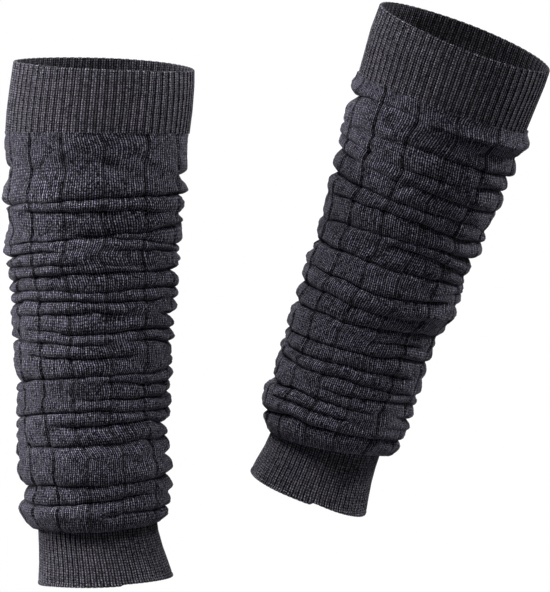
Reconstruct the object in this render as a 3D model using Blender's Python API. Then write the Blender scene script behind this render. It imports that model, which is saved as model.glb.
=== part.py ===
# A pair of ribbed leg warmers, pushed down into soft rolls and filled out to the round of the calf.
# Each leg is three knitted tubes joined end to end: a top cuff, a body and an ankle cuff.
# Metres, +Z up, front towards -Y. The tables are in millimetres, and a "drop" is measured
# down the leg's own axis from the plane of its top rim.
# The slanting right leg's body is modelled in two lengths that meet in a deep crease.
# The origin is the middle of the left leg's top cuff, where the calf holds it.

import math
from collections import namedtuple

import bpy
from mathutils import Matrix, Vector

MM = 0.001

WALL = 1.8                 # knitted wall under the ribs and panels
SEAM_GAP = 0.4             # space at a seam, measured down the leg: about 0.3 square to a sloping seam
ROUND_DEPTH = 0.97         # front-to-back size over side-to-side size

CUFF_RIBS = 68             # ribs round a cuff
CUFF_RIB_RISE = 0.8        # height of a cuff's rib over its groove
CUFF_INNER_POINTS = 34     # points round the plain inside of a cuff
CUFF_EDGE = 1.0            # height over which a cuff's edge rounds inwards
CUFF_EDGE_INSET = 0.5      # how far that edge draws in

BODY_PANELS = 13           # flat panels round a body, with a groove between neighbours
PANEL_RISE = 0.8           # height of a panel over its groove
ROLL_SHOULDER = 0.30       # where a roll's upper shoulder lies, as a share of its height
ROLL_CREST = 0.64          # where its crest lies: below the middle, because the cloth sags
ROLL_OVERHANG = 5.5        # most that the crest of a tall roll lies above the fold under it
ROLL_SHOULDER_FILL = 0.72  # share of the crest's rise that the shoulder has
ROLL_SLOPE = 0.50          # most that a roll stands out, as a share of its height
TALL_ROLL = 9.0            # mean height from which a roll has a shoulder ring of its own
SEAM_TUCK = 1.0            # how far a body draws in where the top cuff is sewn on

RIGHT_PARTING = 8          # the fold, counted from the top, that parts the right body's two lengths

CALF_HOLD_DROP = 21.0      # the middle of the left top cuff, which is the origin
BACK_SWELL = 2.5           # how far the calf pushes a body's middle backwards

RIGHT_TOP = Vector((244.5, -17.0, 40.7))      # centre of the right leg's top rim
RIGHT_DOWN = Vector((-0.3145, 0.105, -0.9434)).normalized()  # down the right leg's axis

# Directions round a leg in which the tables give a value: degrees from the front, + to the right.
DIRECTIONS = (-90.0, -45.0, 0.0, 45.0, 90.0, 180.0)

# Size of a ring: its drop, how far its middle is moved to the right, and half of its width.
Section = namedtuple("Section", "drop shift half_width")

# Angle of the first groove at a drop: the panels turn a little as the body twists.
Turn = namedtuple("Turn", "drop angle")

# A line round the leg: its drop in each of the DIRECTIONS.
Line = namedtuple("Line", "left front_left front front_right right back")

# A crease between two rolls: its drop in each direction, then how deep it is there.
Fold = namedtuple("Fold", "drop depth")

Leg = namedtuple("Leg", "side top_cuff body ankle_cuff turns rim top_seam folds ankle_seam hem place")

LEFT_TOP_CUFF = (
    #       drop  shift  half_width
    Section(-3.0, 0.6, 61.4),
    Section(14.0, -0.8, 62.6),
    Section(31.0, -2.6, 63.1),
    Section(47.0, -4.2, 62.6),
)
LEFT_BODY = (
    Section(45.0, -4.4, 62.6),
    Section(57.0, -5.2, 62.8),
    Section(68.0, -4.4, 62.0),
    Section(89.0, -6.2, 64.0),
    Section(110.0, -6.2, 60.4),
    Section(126.0, -9.0, 61.2),
    Section(147.0, -7.0, 58.6),
    Section(174.0, -7.6, 57.4),
    Section(198.0, -8.0, 56.6),
    Section(219.0, -7.2, 54.0),
    Section(236.0, -8.0, 54.0),
    Section(253.0, -8.6, 53.0),
    Section(274.0, -7.6, 54.6),
    Section(288.0, -6.4, 52.2),
    Section(303.0, -7.2, 52.6),
    Section(314.0, -6.0, 47.0),
)
LEFT_ANKLE_CUFF = (
    Section(306.0, -5.2, 40.4),
    Section(318.0, -4.6, 40.9),
    Section(329.0, -3.1, 42.0),
    Section(340.0, -1.3, 43.7),
    Section(353.0, 0.3, 45.8),
)
LEFT_TURNS = (
    Turn(45.0, 5.0),
    Turn(72.0, 6.0),
    Turn(222.0, 13.7),
    Turn(246.0, 14.5),
    Turn(262.0, 22.0),
    Turn(312.0, 23.0),
)
LEFT_RIM = Line(-3.2, -2.6, -1.0, 1.6, 3.2, -1.2)
LEFT_TOP_SEAM = Line(45.0, 42.5, 41.5, 43.5, 46.5, 44.5)
LEFT_ANKLE_SEAM = Line(313.5, 312.5, 312.0, 309.5, 308.0, 312.0)
LEFT_HEM = Line(355.0, 352.5, 351.0, 349.5, 350.0, 353.0)
LEFT_FOLDS = (
    #         left  front_left  front  front_right  right  back
    Fold(Line(69.0, 61.5, 61.5, 67.0, 75.0, 71.0), Line(2.2, 1.0, 1.0, 0.8, 3.5, 2.0)),
    Fold(Line(95.0, 90.0, 85.5, 84.0, 88.0, 91.0), Line(3.5, 2.5, 3.5, 4.5, 4.8, 3.5)),
    Fold(Line(98.6, 95.5, 93.5, 95.0, 100.5, 99.0), Line(4.2, 3.0, 3.5, 3.5, 5.2, 3.0)),
    Fold(Line(121.7, 117.0, 112.0, 116.5, 121.5, 120.0), Line(2.6, 2.5, 3.0, 2.5, 3.6, 3.0)),
    Fold(Line(131.0, 125.0, 121.5, 123.5, 127.5, 129.5), Line(5.2, 3.5, 0.6, 2.5, 2.6, 2.5)),
    Fold(Line(146.3, 139.0, 135.0, 135.5, 139.0, 143.0), Line(3.2, 4.0, 4.0, 3.5, 4.8, 3.5)),
    Fold(Line(154.5, 148.5, 148.5, 147.5, 150.4, 153.0), Line(3.0, 3.0, 2.4, 3.0, 2.4, 2.5)),
    Fold(Line(162.5, 156.0, 156.0, 155.5, 158.6, 160.5), Line(3.6, 4.2, 4.5, 4.4, 2.6, 4.0)),
    Fold(Line(171.0, 166.5, 163.5, 165.0, 169.5, 170.0), Line(1.5, 3.0, 2.6, 2.5, 5.0, 3.0)),
    Fold(Line(179.0, 176.0, 178.0, 174.5, 179.0, 179.5), Line(2.6, 4.5, 5.0, 4.5, 3.0, 4.0)),
    Fold(Line(187.0, 185.5, 186.0, 183.0, 188.5, 188.5), Line(4.0, 1.6, 1.5, 3.4, 4.0, 3.0)),
    Fold(Line(195.0, 194.5, 194.5, 191.5, 197.0, 197.5), Line(2.5, 3.5, 4.0, 2.5, 1.5, 3.0)),
    Fold(Line(216.0, 209.5, 205.5, 205.0, 203.5, 210.0), Line(4.0, 4.5, 4.2, 3.0, 4.0, 3.5)),
    Fold(Line(231.0, 225.0, 221.5, 221.0, 222.5, 227.0), Line(1.0, 0.6, 2.6, 4.0, 4.2, 2.4)),
    Fold(Line(240.0, 233.5, 230.5, 230.0, 233.0, 236.5), Line(2.8, 3.0, 3.0, 3.0, 2.0, 3.0)),
    Fold(Line(248.0, 242.5, 239.5, 238.0, 243.0, 246.0), Line(1.6, 3.0, 4.8, 4.0, 4.8, 3.5)),
    Fold(Line(256.3, 255.0, 253.0, 251.0, 252.5, 256.0), Line(2.6, 3.5, 3.5, 3.5, 2.6, 3.0)),
    Fold(Line(267.3, 266.5, 265.5, 263.0, 264.0, 267.0), Line(3.6, 0.4, 0.0, 0.4, 3.8, 2.0)),
    Fold(Line(285.7, 282.0, 280.5, 278.5, 278.0, 283.5), Line(4.4, 3.5, 4.0, 3.5, 4.8, 4.0)),
    Fold(Line(296.0, 295.5, 291.5, 288.0, 291.0, 295.5), Line(3.5, 4.4, 4.5, 3.8, 2.4, 3.5)),
    Fold(Line(306.0, 305.0, 301.5, 298.5, 300.5, 304.5), Line(0.6, 0.8, 2.6, 3.4, 3.4, 2.0)),
)

RIGHT_TOP_CUFF = (
    Section(-3.0, -0.2, 61.6),
    Section(14.0, -0.2, 62.2),
    Section(31.0, 0.2, 61.6),
    Section(50.0, 0.4, 60.8),
)
RIGHT_BODY = (
    Section(45.0, 0.6, 63.4),
    Section(53.0, 1.2, 65.0),
    Section(74.0, 1.2, 62.6),
    Section(87.0, 1.8, 61.6),
    Section(103.0, 2.1, 59.6),
    Section(123.0, 1.4, 58.0),
    Section(135.0, 2.8, 57.2),
    Section(150.0, 2.0, 55.2),
    Section(166.0, 1.3, 54.8),
    Section(183.0, 1.5, 55.8),
    Section(192.0, 0.5, 53.4),
    Section(202.0, -1.6, 51.8),
    Section(219.0, -0.9, 51.6),
    Section(239.0, -0.5, 51.2),
    Section(254.0, 0.3, 51.0),
    Section(272.0, 0.5, 52.0),
    Section(280.0, -0.8, 50.2),
    Section(287.0, 0.7, 47.0),
    Section(296.0, -0.6, 43.0),
)
RIGHT_ANKLE_CUFF = (
    Section(283.0, -0.3, 37.7),
    Section(301.0, -0.4, 37.9),
    Section(312.0, -0.6, 38.8),
    Section(323.0, -1.0, 40.7),
    Section(333.0, -0.9, 42.2),
)
RIGHT_TURNS = (
    Turn(45.0, 12.0),
    Turn(109.0, 11.0),
    Turn(178.0, 10.0),
    Turn(253.0, 5.5),
    Turn(290.0, 4.0),
)
RIGHT_RIM = Line(-3.6, -3.4, -1.0, 1.0, 2.4, -0.8)
RIGHT_TOP_SEAM = Line(46.0, 42.5, 42.5, 44.5, 48.0, 46.0)
RIGHT_ANKLE_SEAM = Line(297.0, 295.0, 289.5, 285.5, 288.0, 293.0)
RIGHT_HEM = Line(332.0, 331.5, 331.5, 333.0, 334.5, 333.0)
RIGHT_FOLDS = (
    Fold(Line(62.5, 56.0, 54.5, 58.0, 65.0, 62.0), Line(4.6, 1.5, 3.0, 4.0, 3.5, 3.5)),
    Fold(Line(81.0, 75.0, 72.5, 75.0, 80.5, 80.0), Line(2.2, 3.0, 3.5, 3.5, 4.4, 3.0)),
    Fold(Line(88.5, 86.0, 88.0, 86.5, 91.0, 90.5), Line(2.0, 2.0, 2.5, 2.5, 4.6, 3.0)),
    Fold(Line(97.0, 97.0, 98.5, 102.0, 105.5, 101.0), Line(5.0, 4.4, 3.0, 2.5, 1.0, 3.0)),
    Fold(Line(114.8, 112.0, 112.0, 113.0, 119.5, 116.0), Line(5.6, 4.8, 4.5, 3.5, 4.4, 4.0)),
    Fold(Line(129.5, 123.5, 121.0, 125.0, 129.0, 128.0), Line(1.8, 3.0, 3.0, 4.0, 2.4, 3.0)),
    Fold(Line(147.0, 141.5, 136.5, 137.0, 142.2, 143.5), Line(2.2, 3.5, 3.5, 4.0, 5.0, 3.5)),
    Fold(Line(162.7, 159.5, 157.5, 157.5, 161.5, 161.0), Line(5.6, 5.0, 4.5, 4.5, 1.6, 4.0)),
    Fold(Line(180.5, 176.5, 176.0, 172.5, 175.0, 178.0), Line(3.0, 4.0, 4.0, 4.0, 4.2, 3.5)),
    Fold(Line(193.5, 189.0, 190.0, 186.5, 189.5, 192.0), Line(3.6, 3.0, 3.0, 3.4, 4.8, 3.5)),
    Fold(Line(208.5, 204.0, 201.0, 197.0, 201.0, 205.0), Line(5.0, 4.5, 4.0, 3.0, 3.2, 3.5)),
    Fold(Line(227.0, 223.0, 219.0, 216.5, 219.5, 223.5), Line(2.0, 3.0, 3.0, 3.0, 2.6, 2.5)),
    Fold(Line(235.5, 234.0, 229.7, 228.5, 232.0, 234.0), Line(1.4, 4.0, 4.0, 4.4, 1.2, 3.0)),
    Fold(Line(243.5, 242.8, 240.2, 240.0, 244.5, 244.0), Line(2.6, 3.0, 3.0, 3.0, 4.4, 3.0)),
    Fold(Line(255.5, 252.3, 250.5, 247.5, 252.5, 254.0), Line(0.6, 1.5, 3.4, 3.0, 1.2, 2.0)),
    Fold(Line(264.6, 259.8, 258.5, 257.0, 261.8, 262.5), Line(4.8, 4.4, 3.0, 3.0, 4.4, 3.5)),
    Fold(Line(272.5, 268.0, 266.5, 265.5, 269.0, 270.5), Line(1.0, 4.2, 3.0, 2.2, 1.4, 2.0)),
    Fold(Line(280.5, 277.5, 275.0, 273.0, 276.5, 279.0), Line(3.4, 4.8, 4.8, 4.0, 5.0, 4.0)),
)


def clear_scene():
    for thing in list(bpy.data.objects):
        bpy.data.objects.remove(thing)


def round_leg(values, angle):
    """Smooth value at an angle, from the values in the six DIRECTIONS."""
    count = len(DIRECTIONS)
    turn = (angle - DIRECTIONS[0]) % 360.0 + DIRECTIONS[0]
    here = max(i for i in range(count) if DIRECTIONS[i] <= turn)

    def knot(index):
        wraps, place = divmod(index, count)
        return DIRECTIONS[place] + 360.0 * wraps, values[place]

    (a0, v0), (a1, v1), (a2, v2), (a3, v3) = (knot(here + step) for step in (-1, 0, 1, 2))
    span = a2 - a1
    t = (turn - a1) / span
    slope_1 = (v2 - v0) / (a2 - a0) * span
    slope_2 = (v3 - v1) / (a3 - a1) * span
    return (v1 * (2 * t**3 - 3 * t**2 + 1) + slope_1 * (t**3 - 2 * t**2 + t)
            + v2 * (3 * t**2 - 2 * t**3) + slope_2 * (t**3 - t**2))


def down_leg(table, drop):
    """The table's other columns at a drop, on straight lines between its rows."""
    if drop <= table[0].drop:
        return table[0][1:]
    for above, below in zip(table, table[1:]):
        if drop <= below.drop:
            share = (drop - above.drop) / (below.drop - above.drop)
            return [a + share * (b - a) for a, b in zip(above[1:], below[1:])]
    return table[-1][1:]


def leg_point(leg, sections, drop, angle, inset):
    """A point of the leg, inset from the ring that the sections give at its drop."""
    shift, half_width = down_leg(sections, drop)
    body_top = leg.body[0].drop
    body_length = leg.body[-1].drop - body_top
    down_body = min(max((drop - body_top) / body_length, 0.0), 1.0)
    back = BACK_SWELL * math.sin(math.pi * down_body)
    turn = math.radians(angle)
    x = shift + (half_width - inset) * math.sin(turn)
    y = back - (half_width * ROUND_DEPTH - inset) * math.cos(turn)
    return leg.place @ Vector((x, y, -drop))


def wall_mesh(name, outer, inner, material):
    """One closed wall from rings of points, top to bottom, on its outside and its inside.

    An outer ring has a whole number of points for each point of an inner ring.
    """
    around = len(outer[0])
    around_inside = len(inner[0])
    share = around // around_inside
    points = [point * MM for ring in outer + inner for point in ring]
    first_inside = around * len(outer)
    faces = []

    def out(ring, index):
        return ring * around + index % around

    def ins(ring, index):
        return first_inside + ring * around_inside + index % around_inside

    for ring in range(len(outer) - 1):
        for i in range(around):
            faces.append((out(ring, i), out(ring + 1, i), out(ring + 1, i + 1), out(ring, i + 1)))
    for ring in range(len(inner) - 1):
        for i in range(around_inside):
            faces.append((ins(ring, i), ins(ring, i + 1), ins(ring + 1, i + 1), ins(ring + 1, i)))

    last_out = len(outer) - 1
    last_in = len(inner) - 1
    half = max(share // 2, 1)
    for j in range(around_inside):
        for k in range(share):
            i = j * share + k
            near = j if k < half else j + 1
            faces.append((out(0, i), out(0, i + 1), ins(0, near)))
            faces.append((out(last_out, i + 1), out(last_out, i), ins(last_in, near)))
        middle = j * share + half
        faces.append((out(0, middle), ins(0, j + 1), ins(0, j)))
        faces.append((out(last_out, middle), ins(last_in, j), ins(last_in, j + 1)))

    mesh = bpy.data.meshes.new(name)
    mesh.from_pydata(points, [], faces)
    mesh.validate()
    mesh.shade_smooth()
    mesh.set_sharp_from_angle(angle=math.radians(40.0))
    mesh.materials.append(material)
    piece = bpy.data.objects.new(name, mesh)
    bpy.context.scene.collection.objects.link(piece)
    return piece


def cuff(name, leg, sections, top, bottom, material):
    """A ribbed cuff between two lines: its ribs stand on the outside, its inside is plain."""
    around = 2 * CUFF_RIBS
    levels = ((0.0, CUFF_EDGE_INSET), (None, 0.0), (0.5, 0.0), (1.0, 0.0))
    outer = []
    inner = []
    for share, inset in levels:
        ring = []
        for i in range(around):
            angle = 360.0 * i / around
            high = round_leg(top, angle)
            low = round_leg(bottom, angle)
            drop = high + CUFF_EDGE if share is None else high + share * (low - high)
            rib = 0.0 if i % 2 == 0 else CUFF_RIB_RISE
            ring.append(leg_point(leg, sections, drop, angle, inset + rib))
        outer.append(ring)
    for share in (0.0, 0.5, 1.0):
        ring = []
        for i in range(CUFF_INNER_POINTS):
            angle = 360.0 * i / CUFF_INNER_POINTS
            high = round_leg(top, angle)
            low = round_leg(bottom, angle)
            drop = high + share * (low - high)
            ring.append(leg_point(leg, sections, drop, angle, CUFF_RIB_RISE + WALL))
        inner.append(ring)
    return wall_mesh(name, outer, inner, material)


def shifted(line, distance):
    return Line(*(value + distance for value in line))


def body_lines(leg):
    """The seams at a body's ends, and its folds between them."""
    ankle_step = leg.body[-1].half_width - leg.ankle_cuff[0].half_width
    top = Fold(shifted(leg.top_seam, SEAM_GAP / 2), Line(*[SEAM_TUCK] * 6))
    end = Fold(shifted(leg.ankle_seam, -SEAM_GAP / 2), Line(*[ankle_step] * 6))
    return (top,) + leg.folds + (end,)


def parted(lines, index):
    """The lines of two lengths that meet, a seam's gap apart, in the fold with this index."""
    fold = lines[index]
    upper_end = Fold(shifted(fold.drop, -SEAM_GAP / 2), fold.depth)
    lower_top = Fold(shifted(fold.drop, SEAM_GAP / 2), fold.depth)
    return lines[:index] + (upper_end,), (lower_top,) + lines[index + 1:]


def body(name, leg, lines, material):
    """A pushed-down body: a roll between each line and the next, crossed by upright grooves."""
    around = 2 * BODY_PANELS
    outer = []
    inner = []

    def ring(rows, share, fill, inset, grooved):
        above, below = rows
        points = []
        for i in range(around):
            level = sum(above.drop) / 6 + share * (sum(below.drop) - sum(above.drop)) / 6
            angle = down_leg(leg.turns, level)[0] + 360.0 * i / around
            high = round_leg(above.drop, angle)
            height = round_leg(below.drop, angle) - high
            depth_above = max(round_leg(above.depth, angle), 0.0)
            depth_below = max(round_leg(below.depth, angle), 0.0)
            depth = depth_above + share * (depth_below - depth_above)
            rise = min(depth, ROLL_SLOPE * height)
            groove = PANEL_RISE if grooved and i % 2 == 0 else 0.0
            points.append(leg_point(leg, leg.body, high + share * height, angle,
                                    depth - fill * rise + groove + inset))
        return points

    lining = PANEL_RISE + WALL
    for rows in zip(lines, lines[1:]):
        mean_height = (sum(rows[1].drop) - sum(rows[0].drop)) / 6
        outer.append(ring(rows, 0.0, 0.0, 0.0, True))
        inner.append(ring(rows, 0.0, 0.0, lining, False))
        crest = max(ROLL_CREST, 1.0 - ROLL_OVERHANG / mean_height)
        if mean_height > TALL_ROLL:
            outer.append(ring(rows, ROLL_SHOULDER, ROLL_SHOULDER_FILL, 0.0, True))
        outer.append(ring(rows, crest, 1.0, 0.0, True))
        inner.append(ring(rows, crest, 1.0, lining, False))
    outer.append(ring(rows, 1.0, 0.0, 0.0, True))
    inner.append(ring(rows, 1.0, 0.0, lining, False))
    return wall_mesh(name, outer, inner, material)


def knit_material(name, shade, roughness):
    """Dark grey mixed-fibre knit: rough, not metallic."""
    material = bpy.data.materials.new(name)
    material.use_nodes = True
    shader = material.node_tree.nodes["Principled BSDF"]
    linear = [((channel / 255 + 0.055) / 1.055) ** 2.4 for channel in shade]
    shader.inputs["Base Color"].default_value = (*linear, 1.0)
    shader.inputs["Roughness"].default_value = roughness
    shader.inputs["Metallic"].default_value = 0.0
    return material


def make_leg(leg, bodies):
    """A leg's two cuffs, and its body as one solid or more: their names, with each one's lines."""
    half_gap = SEAM_GAP / 2
    cuff(f"{leg.side}_top_cuff", leg, leg.top_cuff, leg.rim, shifted(leg.top_seam, -half_gap),
         knit_material(f"{leg.side} top cuff rib", (57, 56, 62), 0.92))
    for name, lines in bodies.items():
        body(name, leg, lines, knit_material(f"{name} knit", (51, 49, 57), 0.94))
    cuff(f"{leg.side}_ankle_cuff", leg, leg.ankle_cuff, shifted(leg.ankle_seam, half_gap), leg.hem,
         knit_material(f"{leg.side} ankle cuff rib", (55, 53, 60), 0.92))


def main():
    clear_scene()
    left_place = Matrix.Translation((0.0, 0.0, CALF_HOLD_DROP))
    up = -RIGHT_DOWN
    across = Vector((up.z, 0.0, -up.x)).normalized()
    back = up.cross(across)
    right_place = Matrix.Translation(RIGHT_TOP) @ Matrix((across, back, up)).transposed().to_4x4()
    left = Leg("left", LEFT_TOP_CUFF, LEFT_BODY, LEFT_ANKLE_CUFF, LEFT_TURNS,
               LEFT_RIM, LEFT_TOP_SEAM, LEFT_FOLDS, LEFT_ANKLE_SEAM, LEFT_HEM, left_place)
    right = Leg("right", RIGHT_TOP_CUFF, RIGHT_BODY, RIGHT_ANKLE_CUFF, RIGHT_TURNS,
                RIGHT_RIM, RIGHT_TOP_SEAM, RIGHT_FOLDS, RIGHT_ANKLE_SEAM, RIGHT_HEM, right_place)
    upper, lower = parted(body_lines(right), RIGHT_PARTING)
    make_leg(left, {"left_body": body_lines(left)})
    make_leg(right, {"right_body_upper": upper, "right_body_lower": lower})


main()
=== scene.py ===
# A pair of knitted leg warmers, pushed down into soft rolls and filled out to the round of the calf.
# Each leg is three knitted tubes: a ribbed top cuff, a body of flat panels, a ribbed ankle cuff.
import math

import bpy
import numpy as np
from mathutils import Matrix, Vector


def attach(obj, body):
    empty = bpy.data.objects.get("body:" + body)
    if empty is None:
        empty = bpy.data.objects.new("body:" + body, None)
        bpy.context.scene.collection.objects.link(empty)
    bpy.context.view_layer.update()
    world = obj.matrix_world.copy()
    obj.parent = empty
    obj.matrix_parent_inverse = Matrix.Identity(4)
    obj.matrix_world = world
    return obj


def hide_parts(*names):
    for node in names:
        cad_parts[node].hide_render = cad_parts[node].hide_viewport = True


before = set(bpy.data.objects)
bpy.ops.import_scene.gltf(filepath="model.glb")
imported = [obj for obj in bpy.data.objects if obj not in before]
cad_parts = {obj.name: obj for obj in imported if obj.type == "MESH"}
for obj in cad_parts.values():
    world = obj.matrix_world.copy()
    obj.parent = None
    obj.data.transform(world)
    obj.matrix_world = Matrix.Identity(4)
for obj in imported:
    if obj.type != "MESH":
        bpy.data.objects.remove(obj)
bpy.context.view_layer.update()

mm = 0.001
print("frame loaded:", ", ".join(sorted(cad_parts)))

# Lengths are in mm and angles in degrees, round the leg from the front, + to the right.
# A drop is measured down a leg's own axis from its top rim.
directions = np.array([-90.0, -45.0, 0.0, 45.0, 90.0, 180.0])   # where the tables give a value

# the round of every tube
tube = {
    "roundDepth": 0.97,     # front-to-back size over side-to-side size
    "backSwell": 2.5,       # how far the calf pushes a body's middle backwards
    "degree": 0.95,         # mm of cloth for a degree round the leg
}

leftLeg = {
    "side": "left",
    "bodyNodes": ("left_body",),
    "top": (0, 0, 21),
    "down": (0, 0, -1),
    "seed": 3,
    # (drop, shift to the right, half width)
    "topCuff": [(-3, 0.6, 61.4), (14, -0.8, 62.6), (31, -2.6, 63.1), (47, -4.2, 62.6)],
    "body": [
        (45, -4.3, 62.5), (57, -4.8, 62.2), (68, -4.2, 61.4), (89, -5.8, 63.4),
        (110, -5.8, 59.8), (126, -8.4, 60.4), (147, -6.2, 57.6), (174, -6.8, 56.4),
        (198, -7.2, 55.6), (219, -6.5, 53.1), (236, -7.2, 53), (253, -7.8, 52),
        (274, -7, 53.8), (288, -5.6, 51.2), (303, -6.8, 52.1), (314, -6, 47),
    ],
    "ankleCuff": [
        (306, -5.2, 40.4), (318, -4.4, 41), (329, -2.7, 42.3), (340, -0.7, 44.2),
        (353, 1.2, 46.7),
    ],
    "wideSide": 9.8,        # degrees that the grooves shift round, so that right panels are wider
    # (drop, angle of the first groove)
    "turns": [(45, 5), (72, 6), (222, 13.7), (246, 14.5), (262, 24), (312, 25)],
    # lines round the leg: the drop in each of the directions
    "rim": (-3.2, -2.6, -1, 1.6, 3.2, -1.2),
    "topSeam": (45, 42.5, 41.5, 43.5, 46.5, 44.5),
    "ankleSeam": (313.5, 312.5, 312, 309.5, 308, 312),
    "hem": (355, 352.5, 351, 349.5, 350, 353),
    "hemStepAngle": 16, "hemStep": 1,   # where the hem's turned edge starts, and its step
    # creases between rolls: the drop and the depth in each of the directions, then each stretch
    # (angle to angle) over which the crease dies away and its two rolls run together
    "folds": [
        ((69, 61.5, 61.5, 67, 75, 71), (1.6, 0, 0.7, 0.3, 3.5, 1.6), (-75, -25), (20, 70)),
        ((95, 90.5, 86.5, 84.5, 88, 91), (3.5, 2.4, 3.6, 3.2, 4.8, 3.5)),
        ((98.6, 96, 94, 95.5, 100.5, 99), (4.2, 3, 3, 2.6, 5.2, 3), (-86, -52), (52, 74)),
        ((115, 112, 111.5, 108.5, 106, 112), (0, 0, 2.6, 3, 1.6, 0), (-88, -14)),
        ((121.7, 117.5, 112.2, 116.5, 121.5, 120), (1.2, 2, 3.2, 2.2, 2.6, 3), (-84, -62), (50, 66)),
        ((131, 124.5, 120.8, 121.5, 127.5, 129.5), (5.2, 4.4, 0.6, 3.2, 2.6, 2.5), (-20, 18)),
        ((137.4, 133.3, 130.5, 132, 133.5, 136), (1.6, 3, 1, 2, 1, 1.5), (-5, 7), (36, 84)),
        ((146.3, 140.8, 135.6, 135.9, 139, 143), (3.2, 4, 2.8, 2, 4.8, 3.5)),
        ((154.5, 149.8, 149.3, 147.8, 150.4, 153), (3, 3, 1.8, 3.2, 2.4, 2.5)),
        ((162.5, 156.2, 156.2, 155.5, 158.6, 160.5), (3.6, 3.8, 4, 3.6, 2.4, 4), (54, 74)),
        ((171, 166.5, 163.3, 165, 169.5, 170), (1.5, 2.6, 3, 1.6, 5, 3), (-86, -64), (26, 56)),
        ((179, 176.6, 178.7, 175, 179, 179.5), (2.6, 2.6, 4.2, 4.4, 3, 4), (-82, -50)),
        ((187, 184.6, 185.4, 183, 188.5, 188.5), (5, 3, 2.2, 3.4, 4, 3), (8, 32)),
        ((195, 194.5, 194.6, 192.5, 197, 197.5), (2.5, 2.4, 3.6, 1.2, 1.5, 3), (-82, -48), (34, 80)),
        ((216, 211, 206.6, 206.2, 203.5, 210), (3.6, 4.2, 3, 2, 4, 3.5)),
        ((222.5, 217.5, 210.5, 213, 213.6, 219), (1.6, 0.8, 0.4, 3, 3.5, 1.5), (-62, 10)),
        ((231, 225, 222.4, 223, 222.5, 227), (1, 0, 1.6, 4.2, 4.2, 2.4), (-84, -8)),
        ((240, 233.8, 230.5, 231.6, 233, 236.5), (2.8, 3.4, 2.6, 3.2, 2, 3)),
        ((248, 242.5, 240, 238.2, 243, 246), (1.6, 2.2, 4.4, 3, 4.8, 3.5), (-82, -24)),
        ((256.3, 256, 254.2, 251.5, 252.5, 256), (2.6, 3.2, 3.2, 2.8, 2.6, 3), (-84, -58)),
        ((267.3, 266.5, 265.5, 263, 264, 267), (3.6, 0, 0, 0, 3.8, 2), (-76, 72)),
        ((285.7, 282.7, 281, 279.2, 278, 283.5), (4.4, 2.8, 3.4, 3, 4.8, 4)),
        ((296, 296.4, 292.5, 288.7, 291, 295.5), (3.5, 4.2, 4.5, 3.2, 2.4, 3.5), (46, 82)),
        ((306, 305, 302.2, 299.4, 300.5, 304.5), (0.6, 0.4, 2, 3.2, 3.4, 2), (-80, 8)),
    ],
    # short creases pinched into the rolls: (angle, drop) to (angle, drop), half width, depth
    "pinches": [
        (-20, 60.5, 22, 62.5, 5, 0.9), (30, 99.5, 52, 101, 2.2, 1.4),
        (-46, 140.3, -14, 142.2, 1.8, 2), (-31, 146.5, -19, 148.5, 1.8, 1.3),
        (-3, 172.3, 37, 168, 2, 2.6), (-80, 186, -56, 183, 2.6, 2),
        (34, 196.4, 39, 203.2, 1.5, 2.2), (8.5, 220, 7, 226.2, 1.5, 2.6),
        (31, 287.5, 24, 297, 1.6, 2.6), (-58, 75, -40, 80, 4, 0.9),
        (-30, 224, -8, 221, 2.4, 1), (8, 258, 34, 261, 4, 0.8),
        (118, 82, 152, 79, 3.5, 1.3), (-150, 105, -118, 109, 3, 1.5),
        (160, 133, 196, 128, 2.6, 1.5), (105, 160, 128, 166, 2.4, 1.4),
        (-165, 203, -128, 199, 3.2, 1.6), (128, 226, 148, 238, 2.4, 1.4),
        (170, 272, 205, 276, 3.2, 1.4), (-125, 290, -112, 281, 2.4, 1.3),
        # hollows at the two sides, where whole rolls lie further in
        (-112, 78, -72, 77, 4.5, 2.4), (-112, 108, -72, 104, 6.5, 3.6),
        (-112, 197, -72, 193, 3.5, 1.6), (-112, 214, -72, 212, 4, 2),
        (-112, 292, -72, 290, 6, 4.6), (72, 79, 112, 76, 5, 2.6),
        (72, 196, 112, 195, 6, 3.2), (72, 247, 112, 246, 5, 2.4),
        (72, 182, 112, 181, 4, 1.6),
    ],
}

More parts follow.
